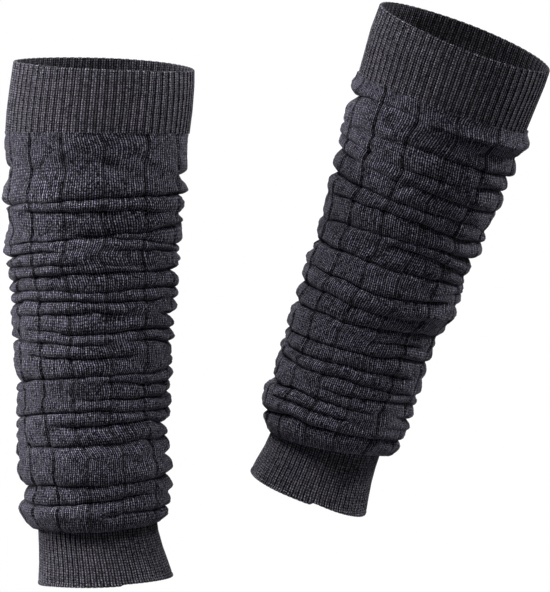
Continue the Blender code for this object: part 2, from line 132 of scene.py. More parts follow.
rightLeg = {
    "side": "right",
    "bodyNodes": ("right_body_upper", "right_body_lower"),
    "top": (244.5, -17, 40.7),
    "down": (-0.3145, 0.105, -0.9434),
    "seed": 11,
    "topCuff": [(-3, -0.2, 61.6), (14, -0.5, 61.9), (31, -0.5, 60.9), (50, -0.5, 59.9)],
    "body": [
        (45, -0.5, 61), (50, -0.2, 61.8), (54.5, 0.8, 64.6), (60, 0.3, 62.8),
        (64, -0.3, 61.2), (74, 0.4, 61.6), (87, 1, 60.8),
        (103, 1.3, 58.8), (123, 0.3, 56.9), (135, 1.9, 56.3), (150, 1.1, 54.3),
        (166, 0.6, 54.1), (183, 0.9, 55.4), (192, -0.2, 52.7), (202, -2.2, 51.2),
        (219, -1.5, 50.9), (239, -1.1, 50.6), (254, -0.4, 50.3), (264, -0.2, 50.8),
        (274, -1, 52.2), (283, -1.4, 49.6), (290, 0, 47.4), (296, -0.6, 43.6),
    ],
    "ankleCuff": [
        (283, -0.3, 37.7), (301, -0.4, 37.9), (312, -0.6, 38.8), (323, -1, 40.7),
        (333, -0.9, 42.2),
    ],
    "wideSide": 5,
    "turns": [(45, 12), (109, 11), (178, 10), (253, 5.5), (290, 4)],
    "rim": (-3.6, -3.4, -1, 1, 2.4, -0.8),
    "topSeam": (46, 42.5, 42.5, 44.5, 48, 46),
    "ankleSeam": (297, 295, 289.5, 285.5, 288, 293),
    "hem": (332, 331.5, 331.7, 334, 335.5, 333.5),
    "hemStepAngle": 4, "hemStep": 2.1,
    "folds": [
        ((60.5, 52.8, 54.2, 58, 65, 61.5), (4.2, 2.6, 2, 2.4, 3.5, 3.5), (54, 76)),
        ((81, 75, 72.4, 75, 80.5, 80), (2.2, 2.2, 2.8, 2.8, 4.4, 3), (-82, -64)),
        ((88.5, 86.6, 89.4, 87, 91, 90.5), (2, 2, 2.2, 1.8, 4.6, 3), (-36, -24), (24, 36)),
        ((97, 97.4, 98.8, 102.5, 105.5, 101), (4.6, 2.6, 2.8, 2.4, 1.6, 3), (-48, -38)),
        ((114.8, 112, 112.2, 113.8, 119.5, 116), (5.6, 3.8, 2.6, 1.6, 4.4, 4), (50, 78)),
        ((129.5, 123.3, 121, 125.4, 129, 128), (1.8, 2.6, 3, 3.6, 2.4, 3), (-84, -66)),
        ((147, 141.2, 136.2, 137.4, 142.2, 143.5), (2.2, 3.6, 2.6, 4.2, 5, 3.5), (-80, -68)),
        ((152.5, 146.5, 140.9, 146.4, 155.9, 150), (0, 0, 2, 3, 2.5, 1), (-86, -8)),
        ((162.7, 159.2, 157.7, 157.7, 161.2, 161), (5.6, 4, 3, 3.6, 2.4, 4)),
        ((170.2, 167, 166, 166, 167, 170), (4, 0, 0, 0, 1.6, 1.5), (-78, 50)),
        ((180.5, 176.3, 176.4, 172.5, 175, 178), (3, 2.8, 2.8, 3.6, 4.2, 3.5), (-80, -64), (52, 78)),
        ((193.5, 189.3, 190.4, 187.2, 189.5, 192), (3.6, 2.4, 2.2, 2.6, 4.8, 3.5), (38, 80)),
        ((208.5, 204.9, 201, 197, 201, 205), (5, 3, 3.2, 3, 3.2, 3.5), (62, 78)),
        ((220, 215.3, 209.8, 206.3, 209.5, 214), (0, 0, 1, 3, 1.5, 1), (-86, 2), (48, 84)),
        ((227, 223.6, 219.9, 216.3, 219.5, 223.5), (2.4, 1.8, 2.4, 3.4, 2.6, 2.5)),
        ((235.5, 235.2, 230.1, 229.2, 232, 234), (2.6, 4, 3.2, 2.8, 1.2, 3), (52, 78)),
        ((243.5, 243.6, 240.2, 240.6, 244.5, 244), (3, 3, 3.2, 3, 4.4, 3), (54, 78)),
        ((255.5, 252.3, 250.5, 246.8, 251.4, 254), (0.6, 0.6, 2.6, 2.4, 1.2, 2), (-84, -20)),
        ((264.6, 260.3, 258.3, 257, 261.8, 262.5), (5.4, 4, 3.2, 2, 4.4, 3.5), (22, 54)),
        ((274, 269, 267, 265.5, 269.6, 270.5), (1, 5, 3.2, 0.6, 1.6, 2), (-84, -60), (10, 50)),
        ((286, 279.2, 276, 274, 276.5, 281), (4.6, 4.6, 3.4, 3.4, 5, 4)),
    ],
    "pinches": [
        (-54, 80.5, -14, 75, 2, 1.2), (-38, 90.5, -2, 88, 4, 1.3),
        (36, 87.5, 64, 89, 2, 1.5), (43, 127, 39, 136, 1.8, 1.5),
        (-60, 138, -42, 133, 2.4, 1.3), (10, 183, 34, 180, 2.4, 1.2),
        (-72, 200, -48, 197, 2.4, 1.2), (50, 222, 58, 231, 2, 1.3),
        (-20, 246, 6, 244.5, 2, 1), (20, 65, 46, 67, 4, 1),
        (120, 72, 150, 69, 3, 1.4), (-160, 95, -125, 92, 3, 1.5),
        (150, 121, 190, 124, 2.8, 1.5), (-130, 152, -108, 158, 2.4, 1.4),
        (135, 185, 165, 181, 3, 1.5), (-170, 214, -140, 210, 2.6, 1.4),
        (115, 238, 130, 247, 2.2, 1.3), (-120, 266, -98, 270, 2.6, 1.4),
        (-112, 64, -72, 61.5, 5, 2.6), (-112, 163, -72, 161, 3, 2),
        (-112, 209, -72, 207.5, 4, 3.4), (-112, 233, -72, 231, 5, 1.8),
        (-112, 264, -72, 263, 3, 2.4), (72, 65, 112, 64, 5, 2.6),
        (72, 119, 112, 118, 6, 2.8), (72, 153, 112, 152, 7, 2),
        (72, 203, 112, 202, 5, 2), (72, 222, 112, 221, 4, 2.4),
    ],
}


def roundLeg(values, angle):
    # smooth curve round the leg through the six values, read at each angle
    places = np.concatenate([directions - 360.0, directions, directions + 360.0])
    heights = np.tile(np.asarray(values, float), 3)
    turned = (np.asarray(angle, float) - directions[0]) % 360.0 + directions[0]
    slopes = (heights[2:] - heights[:-2]) / (places[2:] - places[:-2])
    here = np.searchsorted(places, turned, side="right") - 1
    span = places[here + 1] - places[here]
    t = (turned - places[here]) / span
    before = slopes[here - 1] * span
    after = slopes[here] * span
    return (heights[here] * (2 * t**3 - 3 * t**2 + 1) + before * (t**3 - 2 * t**2 + t)
            + heights[here + 1] * (3 * t**2 - 2 * t**3) + after * (t**3 - t**2))


def awayFrom(middle, angle):
    # degrees from the middle to each angle, -180 to 180
    return (angle - middle + 180.0) % 360.0 - 180.0


def downLeg(rows, drop, column):
    # a column of a table that runs down the leg, read at each drop
    table = np.array(rows)
    return np.interp(drop, table[:, 0], table[:, column])


def wander(angle, seed, waves):
    # uneven wave of about 1 either way that closes on itself round the leg
    random = np.random.default_rng(seed)
    total = np.zeros_like(np.asarray(angle, float))
    for count in waves:
        phase, size = random.uniform(0.0, 2 * math.pi), random.uniform(0.6, 1.0)
        total = total + size * np.sin(np.radians(angle) * count + phase)
    return total / math.sqrt(0.7 * len(waves))   # more waves add up to more


def legAxes(leg):
    up = -Vector(leg["down"]).normalized()
    across = Vector((up.z, 0.0, -up.x)).normalized()
    return np.array(across), np.array(up.cross(across)), np.array(up)


def legPoints(leg, sections, drop, angle, inset):
    # points at these drops, angles and insets from the leg's outline, and their outward directions
    across, back, up = legAxes(leg)
    shift = downLeg(sections, drop, 1)
    halfWidth = downLeg(sections, drop, 2)
    bodyTop, bodyEnd = leg["body"][0][0], leg["body"][-1][0]
    downBody = np.clip((drop - bodyTop) / (bodyEnd - bodyTop), 0.0, 1.0)
    behind = tube["backSwell"] * np.sin(math.pi * downBody)
    turn = np.radians(angle)
    x = shift + (halfWidth - inset) * np.sin(turn)
    y = behind - (halfWidth * tube["roundDepth"] - inset) * np.cos(turn)
    points = (np.array(leg["top"]) + x[..., None] * across + y[..., None] * back
              - np.asarray(drop)[..., None] * up)
    outward = np.sin(turn)[..., None] * across - np.cos(turn)[..., None] * back
    return points * mm, outward


def makeWall(name, outer, inner, attributes, coordinates, material):
    # one closed wall from grids of points, top to bottom: two outer points for each inner one
    rows, around = outer.shape[:2]
    innerRows, innerAround = inner.shape[:2]
    outside = np.arange(rows * around).reshape(rows, around)
    inside = rows * around + np.arange(innerRows * innerAround).reshape(innerRows, innerAround)
    nextOut, nextIn = np.roll(outside, -1, 1), np.roll(inside, -1, 1)
    quads = np.concatenate([
        np.stack([outside[:-1], outside[1:], nextOut[1:], nextOut[:-1]], -1).reshape(-1, 4),
        np.stack([inside[:-1], nextIn[:-1], nextIn[1:], inside[1:]], -1).reshape(-1, 4)])
    triangles = []
    for ring, lining, flip in ((outside[0], inside[0], False), (outside[-1], inside[-1], True)):
        even, odd = ring[0::2], ring[1::2]
        nextEven, nextLining = np.roll(even, -1), np.roll(lining, -1)
        strip = np.concatenate([np.stack([even, odd, lining], -1),
                                np.stack([odd, nextEven, nextLining], -1),
                                np.stack([odd, nextLining, lining], -1)])
        triangles.append(strip[:, ::-1] if flip else strip)
    faces = quads.tolist() + np.concatenate(triangles).tolist()
    points = np.concatenate([outer.reshape(-1, 3), inner.reshape(-1, 3)])

    mesh = bpy.data.meshes.new(name)
    mesh.from_pydata(points, [], faces)
    for key, (kind, values) in attributes.items():
        flat = np.concatenate([values[0].reshape(rows * around, -1),
                               values[1].reshape(innerRows * innerAround, -1)])
        layer = mesh.attributes.new(key, kind, "POINT")
        layer.data.foreach_set("vector" if kind == "FLOAT_VECTOR" else "value",
                               flat.astype(np.float32).ravel())

    # the knit's map: round the leg and down the cloth, both from 0 to 1
    uv = np.concatenate([grid.reshape(-1, 2) for grid in coordinates])
    vertexOfCorner = np.empty(len(mesh.loops), np.int32)
    mesh.loops.foreach_get("vertex_index", vertexOfCorner)
    corners = uv[vertexOfCorner]
    starts = np.empty(len(mesh.polygons), np.int32)
    mesh.polygons.foreach_get("loop_start", starts)
    faceOfCorner = np.repeat(np.arange(len(starts)), np.diff(np.append(starts, len(corners))))
    highest = np.zeros(len(starts))
    np.maximum.at(highest, faceOfCorner, corners[:, 0])
    overJoin = (highest[faceOfCorner] > 0.75) & (corners[:, 0] < 0.25)
    corners[overJoin, 0] += 1.0   # the map runs on past the join instead of back across it
    layer = mesh.uv_layers.new(name="knitMap")
    layer.data.foreach_set("uv", corners.astype(np.float32).ravel())

    mesh.shade_smooth()
    mesh.materials.append(material)
    piece = bpy.data.objects.new(name, mesh)
    bpy.context.scene.collection.objects.link(piece)
    return piece


def addNode(tree, kind, inputs=(), **settings):
    # a node with its settings and links: an input is a value, a socket, or a node's first output
    node = tree.nodes.new(kind)
    for key, value in settings.items():
        setattr(node, key, value)
    for key, value in inputs.items() if isinstance(inputs, dict) else enumerate(inputs):
        if isinstance(value, bpy.types.Node):
            value = value.outputs[0]
        if isinstance(value, bpy.types.NodeSocket):
            tree.links.new(value, node.inputs[key])
        else:
            node.inputs[key].default_value = value
    return node


def linear(hexColour):
    # an sRGB hex colour as linear RGBA
    channels = [int(hexColour[i:i + 2], 16) / 255 for i in (1, 3, 5)]
    return tuple(c / 12.92 if c <= 0.04045 else ((c + 0.055) / 1.055) ** 2.4
                 for c in channels) + (1.0,)


def reliefTree(name, profile, material):
    # ribs or grooves: moves a wall's points out by a profile that repeats round the leg
    tree = bpy.data.node_groups.new(name, "GeometryNodeTree")
    sockets = {"Geometry": "Geometry", "Repeats": "Float", "Rise": "Float", "Scallop": "Float",
               "Leg axis": "Vector"}
    for socketName, kind in sockets.items():
        tree.interface.new_socket(socketName, in_out="INPUT", socket_type="NodeSocket" + kind)
    tree.interface.new_socket("Geometry", in_out="OUTPUT", socket_type="NodeSocketGeometry")
    given = addNode(tree, "NodeGroupInput").outputs
    around, strength, lip = (
        addNode(tree, "GeometryNodeInputNamedAttribute", {"Name": key}, data_type="FLOAT")
        for key in ("aroundShare", "reliefShare", "lipShare"))
    outward = addNode(tree, "GeometryNodeInputNamedAttribute", {"Name": "outward"},
                      data_type="FLOAT_VECTOR")

    turns = addNode(tree, "ShaderNodeMath", (around, given["Repeats"]), operation="MULTIPLY")
    place = addNode(tree, "ShaderNodeMath", (turns,), operation="FRACT")
    height = addNode(tree, "ShaderNodeFloatCurve", {"Value": place})
    drawn = height.mapping.curves[0].points
    drawn[0].location, drawn[1].location = profile[0], profile[1]
    for x, y in profile[2:]:
        drawn.new(x, y)
    for point in drawn:
        point.handle_type = "AUTO_CLAMPED"
    height.mapping.update()

    # the stripes stay where they are and what lies between them sinks; on a rim it dips too
    lowered = addNode(tree, "ShaderNodeMath", (height, 1.0), operation="SUBTRACT")
    sized = addNode(tree, "ShaderNodeMath", (lowered, given["Rise"]), operation="MULTIPLY")
    shared = addNode(tree, "ShaderNodeMath", (sized, strength), operation="MULTIPLY")
    moveOut = addNode(tree, "ShaderNodeVectorMath", {0: outward, "Scale": shared}, operation="SCALE")
    dip = addNode(tree, "ShaderNodeMath", (lowered, given["Scallop"]), operation="MULTIPLY")
    dipShared = addNode(tree, "ShaderNodeMath", (dip, lip), operation="MULTIPLY")
    moveDown = addNode(tree, "ShaderNodeVectorMath", {0: given["Leg axis"], "Scale": dipShared},
                       operation="SCALE")
    offset = addNode(tree, "ShaderNodeVectorMath", (moveOut, moveDown), operation="ADD")
    moved = addNode(tree, "GeometryNodeSetPosition",
                    {"Geometry": given["Geometry"], "Offset": offset})
    # the profile's height is kept for the finish, which paints shade into the grooves from it
    kept = addNode(tree, "GeometryNodeStoreNamedAttribute",
                   {"Geometry": moved, "Name": "ribHeight", "Value": height}, data_type="FLOAT")
    whole = addNode(tree, "GeometryNodeRealizeInstances", {"Geometry": kept})
    painted = addNode(tree, "GeometryNodeSetMaterial", {"Geometry": whole, "Material": material})
    addNode(tree, "NodeGroupOutput", {"Geometry": painted})
    return tree


def applyRelief(piece, tree, values):
    # runs the tree on the piece with these inputs, and keeps the result as its plain mesh
    modifier = piece.modifiers.new("relief", "NODES")
    modifier.node_group = tree
    for item in tree.interface.items_tree:
        if item.in_out == "INPUT" and item.name in values:
            modifier[item.identifier] = values[item.name]
    evaluated = piece.evaluated_get(bpy.context.evaluated_depsgraph_get())
    mesh = bpy.data.meshes.new_from_object(evaluated)
    piece.modifiers.remove(modifier)
    piece.data = mesh


# Finishes: yarn spun from cotton and wool, dark grey with lighter hairs. What all three share:
yarn = {
    "bar": (0.0, 0.36, 0.0, 1.0),           # height of a course, from its edge in
    "ridge": (0.05, 0.38, 1.0, 0.0),        # height of a wale, from its middle out
    "streakShare": 0.2, "fibreShare": 0.8,  # streaks, and stitches and hairs, in the mix of fibres
    "streakStep": 7.31,                     # moves each wale on to streaks of its own
    "hairTurn": 0.5, "hairScale": (2.4, 2.2, 1.0),  # hairs lie aslant, over two to a stitch
    "cloudScale": 38.0,                     # patches of the dye, about 25 mm across
    "cloud": (0.3, 0.7, 0.92, 1.08),        # their light, from the noise's low and high ends
    "reverse": (-0.15, 0.0, 0.5, 1.0),      # painted shade on the reverse, where the relief is below 0: it goes down to half the light
    "hairBump": 0.35, "bumpDepth": 0.0006,  # in metres, as Bump reads it
    # loose fibres have no gloss, but catch light at the edges
    "shader": {"Roughness": 0.95, "Specular IOR Level": 0.1, "Sheen Weight": 0.35,
               "Sheen Roughness": 0.5},
    "sheenTint": "#aaa6b2",
}
ribYarn = {
    **yarn, "slant": 0.35, "streak": 0.6, "barShare": 0.95, "heather": (0.34, 0.7), "speckle": 0.16,
    "pairShade": 0.0, "groove": (0.3, 0.95), "paintedTopLight": 1.7, "bump": 0.6, "darkFibre": "#08070f",
}


def melangeKnit(name, look):
    # wales round the leg and courses down it, drawn on the piece's own map; a Map Range node takes
    # its value, the two ends that this comes from and the two that it goes to
    material = bpy.data.materials.new(name)
    material.use_nodes = True
    tree = material.node_tree
    shader = tree.nodes["Principled BSDF"]
    knitMap = addNode(tree, "ShaderNodeUVMap", uv_map="knitMap")
    stitches = addNode(tree, "ShaderNodeMapping",
                       {"Vector": knitMap, "Scale": (look["wales"], look["courses"], 1.0)})
    across, along = addNode(tree, "ShaderNodeSeparateXYZ", (stitches,)).outputs[:2]

    # each stitch is a V: its two legs rise from the middle of the wale to its edges
    wale = addNode(tree, "ShaderNodeMath", (across,), operation="FRACT")
    offMiddle = addNode(tree, "ShaderNodeMath", (wale, 0.5), operation="SUBTRACT")
    side = addNode(tree, "ShaderNodeMath", (offMiddle,), operation="ABSOLUTE")
    slant = addNode(tree, "ShaderNodeMath", (side, look["slant"], along), operation="MULTIPLY_ADD")
    course = addNode(tree, "ShaderNodeMath", (slant, 0.5), operation="PINGPONG")
    bar = addNode(tree, "ShaderNodeMapRange", (course, *look["bar"]),
                  interpolation_type="SMOOTHSTEP")
    ridge = addNode(tree, "ShaderNodeMapRange", (side, *look["ridge"]),
                    interpolation_type="SMOOTHSTEP")
    stitchHeight = addNode(tree, "ShaderNodeMath", (bar, look["barShare"], 1.0 - look["barShare"]),
                           operation="MULTIPLY_ADD")
    # and every second wale lies a little lower: lower in the bump, and darker in the colour as painted
    # shade
    waleNumber = addNode(tree, "ShaderNodeMath", (across,), operation="FLOOR")
    halved = addNode(tree, "ShaderNodeMath", (waleNumber, 0.5), operation="MULTIPLY")
    left = addNode(tree, "ShaderNodeMath", (halved,), operation="FRACT")
    inPair = addNode(tree, "ShaderNodeMath", (left, 2.0), operation="MULTIPLY")
    pairLight = addNode(tree, "ShaderNodeMapRange", (inPair, 0.0, 1.0, 1.0, 1.0 - look["pairShade"]))
    paired = addNode(tree, "ShaderNodeMath", (ridge, pairLight), operation="MULTIPLY")
    height = addNode(tree, "ShaderNodeMath", (paired, stitchHeight), operation="MULTIPLY")

    # light and dark fibres: streaks down each wale, four draws to a stitch, and fine hairs
    quarters = []
    for value in (across, slant):
        doubled = addNode(tree, "ShaderNodeMath", (value, 2.0), operation="MULTIPLY")
        quarters.append(addNode(tree, "ShaderNodeMath", (doubled,), operation="FLOOR"))
    cell = addNode(tree, "ShaderNodeCombineXYZ", quarters)
    perStitch = addNode(tree, "ShaderNodeTexWhiteNoise", {"Vector": cell}, noise_dimensions="2D")
    ownStreak = addNode(tree, "ShaderNodeMath", (waleNumber, look["streakStep"]), operation="MULTIPLY")
    downStreak = addNode(tree, "ShaderNodeMath", (along, look["streak"]), operation="MULTIPLY")
    streakPlace = addNode(tree, "ShaderNodeCombineXYZ", (ownStreak, downStreak))
    streaks = addNode(tree, "ShaderNodeTexNoise",
                      {"Vector": streakPlace, "Scale": 1.0, "Detail": 2.0}, noise_dimensions="2D")
    hairPlace = addNode(tree, "ShaderNodeMapping",
                        {"Vector": stitches, "Rotation": (0.0, 0.0, look["hairTurn"]),
                         "Scale": look["hairScale"]})
    hairs = addNode(tree, "ShaderNodeTexNoise",
                    {"Vector": hairPlace, "Scale": 1.0, "Detail": 3.0}, noise_dimensions="2D")
    streaked = addNode(tree, "ShaderNodeMath", (streaks, look["streakShare"]), operation="MULTIPLY")
    speckled = addNode(tree, "ShaderNodeMath", (perStitch, look["speckle"]), operation="MULTIPLY")
    mixed = addNode(tree, "ShaderNodeMath", (streaked, speckled), operation="ADD")
    allFibres = addNode(tree, "ShaderNodeMath", (hairs, look["fibreShare"] - look["speckle"], mixed),
                        operation="MULTIPLY_ADD")
    heather = addNode(tree, "ShaderNodeMapRange", (allFibres, *look["heather"], 0.0, 1.0),
                      interpolation_type="SMOOTHSTEP")
    fibre = addNode(tree, "ShaderNodeMix",
                    {"Factor": heather, 6: linear(look["darkFibre"]), 7: linear(look["lightFibre"])},
                    data_type="RGBA")

    # painted light and shade on them, in place of real shade: the gaps between stitches darker and
    # their tops lighter, the grooves between ribs and panels darker, the reverse darker; and patches of
    # dye, which are the yarn's own
    place = addNode(tree, "ShaderNodeTexCoord").outputs["Object"]
    cloud = addNode(tree, "ShaderNodeTexNoise",
                    {"Vector": place, "Scale": look["cloudScale"], "Detail": 3.0})
    cloudLight = addNode(tree, "ShaderNodeMapRange", (cloud, *look["cloud"]))
    ribHeight = addNode(tree, "ShaderNodeAttribute", attribute_name="ribHeight").outputs["Fac"]
    paintedRibGrooveShade = addNode(tree, "ShaderNodeMapRange",
                       (ribHeight, *look["groove"], look["paintedGrooveShade"], 1.0))
    paintedStitchShade = addNode(tree, "ShaderNodeMapRange",
                          (height, 0.0, 1.0, look["paintedGapShade"], look["paintedTopLight"]))
    relief = addNode(tree, "ShaderNodeAttribute", attribute_name="reliefShare").outputs["Fac"]
    paintedReverseShade = addNode(tree, "ShaderNodeMapRange", (relief, *look["reverse"]))
    paintedKnitShade = addNode(tree, "ShaderNodeMath", (paintedRibGrooveShade, paintedStitchShade), operation="MULTIPLY")
    dyeAndPaintedReverseShade = addNode(tree, "ShaderNodeMath", (cloudLight, paintedReverseShade), operation="MULTIPLY")
    dyeAndAllPaintedShade = addNode(tree, "ShaderNodeMath", (paintedKnitShade, dyeAndPaintedReverseShade), operation="MULTIPLY")
    colour = addNode(tree, "ShaderNodeVectorMath", {0: fibre.outputs[2], "Scale": dyeAndAllPaintedShade},
                     operation="SCALE")
    tree.links.new(colour.outputs[0], shader.inputs["Base Color"])

    fuzz = addNode(tree, "ShaderNodeMath", (hairs, look["hairBump"], height), operation="MULTIPLY_ADD")
    bump = addNode(tree, "ShaderNodeBump",
                   {"Height": fuzz, "Strength": look["bump"], "Distance": look["bumpDepth"]})
    tree.links.new(bump.outputs[0], shader.inputs["Normal"])
    for key, value in look["shader"].items():
        shader.inputs[key].default_value = value
    shader.inputs["Sheen Tint"].default_value = linear(look["sheenTint"])
    return material


# a fine plain knit: soft, matt and dark, flecked, with a wale and a course every 1.6 mm; painted shade
# darkens the gaps between its stitches and its upright grooves, and painted light brightens its stitch
# tops
bodyKnit = melangeKnit("soft melange body knit", {
    **yarn, "wales": 222.0, "courses": 250.0, "slant": 0.8, "streak": 0.35, "barShare": 0.75,
    "heather": (0.4, 0.62), "speckle": 0.28, "pairShade": 0.36, "groove": (0.3, 1.0),
    "darkFibre": "#020209", "lightFibre": "#6b6978", "paintedGrooveShade": 0.1, "paintedGapShade": 0.01,
    "paintedTopLight": 3.3, "bump": 0.7})
# the same yarn in broad and thin ribs, stretched: upright stripes, with painted shade that makes the
# gaps near black.
# Three wales to a rib, one every 1.9 mm, and a course every 1.5 mm
topRib = melangeKnit("stretched melange rib, top cuff", {
    **ribYarn, "wales": 204.0, "courses": 32.0, "lightFibre": "#95929f",
    "paintedGrooveShade": 0.03, "paintedGapShade": 0.18})
# and in narrow, deep ribs, darker: its light fibres are a little darker, and painted shade makes its
# grooves near black. Two wales to a rib, at the same sizes
ankleRib = melangeKnit("narrow melange rib, ankle cuff", {
    **ribYarn, "wales": 136.0, "courses": 28.0, "lightFibre": "#8b8895",
    "paintedGrooveShade": 0.02, "paintedGapShade": 0.2})
print("materials ready")


# what the ribbed cuffs share; rows and bands are counted from the open end
cuffEdge = {
    "rimRows": 5, "rimRibs": 0.5,           # rows round the open edge, and how much its ribs fade
    "farRow": 0.994,                        # the last row but one, close to the far seam
    "bandStep": 0.7, "bandRise": 0.25, "bandRibs": 0.3,     # the hem's smooth band, and its edge
    "stepSoft": 0.8, "stepFade": 40.0,      # degrees over which the hem's step comes and goes
    # relief below 0 marks the edge's inner half and the reverse, which the finish paints in shade
    "insideTurns": (72.0, 40.0, 0.0), "insideRim": -0.2, "insideDip": 0.6,  # the edge's inner half
    "insideRibs": -0.45, "insideGap": 0.3,  # ribs of the reverse, and mm that it lies further in
    "drift": 0.35, "driftSlant": 0.6, "driftWaves": (3, 5, 8),  # ribs wander a little on their way down
    "driftSeed": 40,
}
topCuffLook = {
    **cuffEdge, "openEnd": "top", "ribs": 68, "rise": 1.6, "scallop": 0.6, "rows": 30,
    "lip": 1.15, "band": 0.0,
    # one rib: a broad stripe of two wales, a groove, one thin wale, a groove
    "columns": (0.0, 0.04, 0.08, 0.16, 0.24, 0.31, 0.39, 0.47, 0.55, 0.59, 0.63, 0.68, 0.73, 0.8,
                0.87, 0.93),
    "profile": ((0.0, 0.0), (0.04, 0.45), (0.08, 0.9), (0.16, 1.0), (0.31, 0.92), (0.47, 1.0),
                (0.55, 0.9), (0.59, 0.45), (0.63, 0.0), (0.68, 0.35), (0.73, 0.62), (0.8, 0.68),
                (0.87, 0.62), (0.93, 0.3), (1.0, 0.0)),
}
ankleCuffLook = {
    **cuffEdge, "openEnd": "hem", "ribs": 68, "rise": 1.4, "scallop": 0.3, "rows": 34,
    "lip": 1.0, "band": 1.9,
    # one rib: a stripe of two wales, then a narrow deep groove
    "columns": (0.0, 0.05, 0.11, 0.2, 0.35, 0.5, 0.65, 0.8, 0.89, 0.95),
    "profile": ((0.0, 0.0), (0.05, 0.05), (0.11, 0.55), (0.2, 0.92), (0.35, 1.0), (0.5, 0.88),
                (0.65, 1.0), (0.8, 0.92), (0.89, 0.55), (0.95, 0.05), (1.0, 0.0)),
}


def makeCuff(leg, name, sections, topLine, endLine, look, material):
    # ribs between two lines round the leg, rounded over at their open end
    ribs, lip, band, atTop = look["ribs"], look["lip"], look["band"], look["openEnd"] == "top"
    share = ((np.arange(ribs)[:, None] + np.array(look["columns"])) / ribs).ravel()
    angle = 360.0 * share
    high, low = roundLeg(topLine, angle), roundLeg(endLine, angle)
    if not atTop:   # the hem is a little longer past the place where its turned edge starts
        past = awayFrom(leg["hemStepAngle"], angle)
        low = low - (leg["hemStep"] * np.exp(-np.clip(past, 0, 90) / look["stepFade"])
                     / (1 + np.exp(-past / look["stepSoft"])))
    length = low - high

    # rows as (from the open end, inset, relief, share of the rim's dip): outside, then inside
    ribbed, raised = (0.0, look["bandRise"]) if band else (1.0, 0.0)
    outerRows, innerRows = [], []
    for turn in np.radians(np.linspace(90.0, 0.0, look["rimRows"])):
        outerRows.append((lip * (1 - math.sin(turn)), lip * (1 - math.cos(turn)) - raised,
                          ribbed * (1 - look["rimRibs"] * math.sin(turn)), math.sin(turn)))
    start = lip
    if band:
        start = band + look["bandStep"]
        outerRows += [(band, -raised, 0.0, 0.0), (start, raised, look["bandRibs"], 0.0)]
    for turn in np.radians(look["insideTurns"]):
        innerRows.append((lip * (1 - math.sin(turn)), 2 * lip - lip * (1 - math.cos(turn)),
                          look["insideRim"], look["insideDip"] * math.sin(turn)))
    steps = np.append(np.linspace(0.0, 1.0, look["rows"])[1:-1], (look["farRow"], 1.0))
    evenly = [start + step * (length - start) for step in steps]
    outerRows += [(fromEnd, 0.0, 1.0, 0.0) for fromEnd in evenly]
    innerRows += [(fromEnd, 2 * lip + look["insideGap"], look["insideRibs"], 0.0)
                  for fromEnd in evenly[1::2]]

    def lay(rows, every):
        # from the leg's top down, what each row's points are and store
        laid = []
        for fromEnd, inset, relief, dip in rows if atTop else rows[::-1]:
            drop = high + fromEnd if atTop else low - fromEnd
            drift = wander(angle + look["driftSlant"] * drop, leg["seed"] + look["driftSeed"],
                           look["driftWaves"])
            points, outward = legPoints(leg, sections, drop, angle + look["drift"] * drift, inset)
            laid.append((points, outward, share, np.full_like(share, relief),
                         np.full_like(share, dip), drop))
        return [np.array([row[k][::every] for row in laid]) for k in range(6)]

    points, outwards, arounds, reliefs, dips, drops = zip(lay(outerRows, 1), lay(innerRows, 2))
    top, longest = drops[0].min(), np.ptp(drops[0])
    coordinates = [np.stack([around, (drop - top) / longest], -1)
                   for around, drop in zip(arounds, drops)]
    attributes = {"aroundShare": ("FLOAT", arounds), "reliefShare": ("FLOAT", reliefs),
                  "lipShare": ("FLOAT", dips), "outward": ("FLOAT_VECTOR", outwards)}
    piece = makeWall(name, *points, attributes, coordinates, material)
    applyRelief(piece, reliefTree(name + "Ribs", look["profile"], material), {
        "Repeats": float(ribs), "Rise": look["rise"] * mm,
        "Scallop": look["scallop"] * mm * (1 if atTop else -1), "Leg axis": legAxes(leg)[2].tolist()})
    return piece


